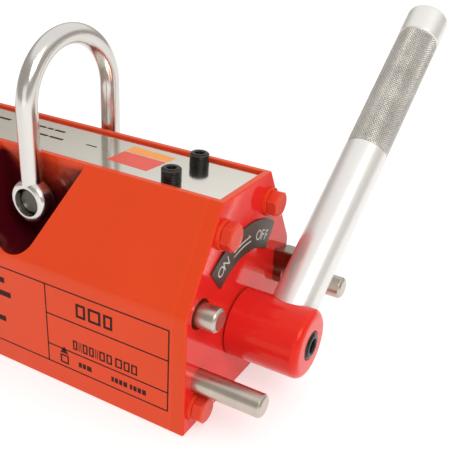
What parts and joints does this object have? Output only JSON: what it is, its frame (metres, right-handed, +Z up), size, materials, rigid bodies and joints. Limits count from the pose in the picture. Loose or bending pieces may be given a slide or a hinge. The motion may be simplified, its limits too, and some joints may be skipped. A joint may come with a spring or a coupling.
{
  "type": "permanent magnetic lifter",
  "caption": "Lever-operated permanent magnetic lifter: red steel body with a flat magnetic base, a hand lever on a rotor hub, stop pins, a safety button and a lifting shackle.",
  "frame": {"origin": "centre of the flat lifting face under the body", "axes": "+X along the rotor axis towards the hub and handle, +Y to the side the handle leans to when off, +Z up"},
  "size_m": [0.2102, 0.1774, 0.1465],
  "materials": {
    "body_paint": "gloss orange-red paint",
    "plate_paint": "gloss red paint",
    "chrome": "polished, slightly worn",
    "pin_steel": "turned steel",
    "spring_steel": "bright spring steel",
    "rotor_steel": "machined steel",
    "black_steel": "black oxide",
    "brass": "machined",
    "bronze": "sintered bronze",
    "magnet": "dark sintered magnet",
    "label_silver": "bright sheet",
    "dial_dark": "dark printed sheet"
  },
  "bodies": {
    "body": {"left_pole": "body_paint", "right_pole": "body_paint", "bottom_spacer": "brass", "top_spacer": "brass", "front_stator_magnet": "magnet", "rear_stator_magnet": "magnet", "front_end_plate": "plate_paint", "rear_end_plate": "plate_paint", "front_washer_1": "plate_paint", "front_bolt_1": "plate_paint", "front_washer_2": "plate_paint", "front_bolt_2": "plate_paint", "front_washer_3": "plate_paint", "front_bolt_3": "plate_paint", "front_washer_4": "plate_paint", "front_bolt_4": "plate_paint", "rear_washer_1": "plate_paint", "rear_bolt_1": "plate_paint", "rear_washer_2": "plate_paint", "rear_bolt_2": "plate_paint", "rear_washer_3": "plate_paint", "rear_bolt_3": "plate_paint", "rear_washer_4": "plate_paint", "rear_bolt_4": "plate_paint", "top_label_plate": "label_silver", "left_top_set_screw": "black_steel", "right_top_set_screw": "black_steel", "on_off_plate": "dial_dark", "on_stop_pin": "pin_steel", "off_stop_pin": "pin_steel", "off_stop_block": "black_steel", "button_spring": "spring_steel", "front_bush": "bronze", "rear_bush": "bronze"},
    "rotor_and_handle": {"left_rotor_segment": "rotor_steel", "right_rotor_segment": "rotor_steel", "rotor_magnet": "magnet", "front_rotor_cap": "brass", "rear_rotor_cap": "brass", "front_left_rotor_screw": "black_steel", "front_right_rotor_screw": "black_steel", "rear_left_rotor_screw": "black_steel", "rear_right_rotor_screw": "black_steel", "hub": "body_paint", "hub_key": "spring_steel", "hub_set_screw": "black_steel", "handle": "chrome"},
    "shackle": {"shackle_bow": "chrome", "shackle_pin": "pin_steel"},
    "safety_button": {"safety_button": "pin_steel"}
  },
  "joints": [
    {"name": "rotor_turn", "type": "hinge", "parent": "body", "child": "rotor_and_handle", "pos_m": [0, 0, 0.0309], "axis": [1, 0, 0], "range_deg": [-2, 130]},
    {"name": "shackle_swing", "type": "hinge", "parent": "body", "child": "shackle", "pos_m": [0, 0, 0.072], "axis": [0, 1, 0], "range_deg": [-35, 35]},
    {"name": "safety_button_press", "type": "slide", "parent": "body", "child": "safety_button", "axis": [-1, 0, 0], "range_m": [0, 0.0065], "stiffness_N_per_m": 600, "springref_m": -0.002, "deforming": ["button_spring"]}
  ]
}
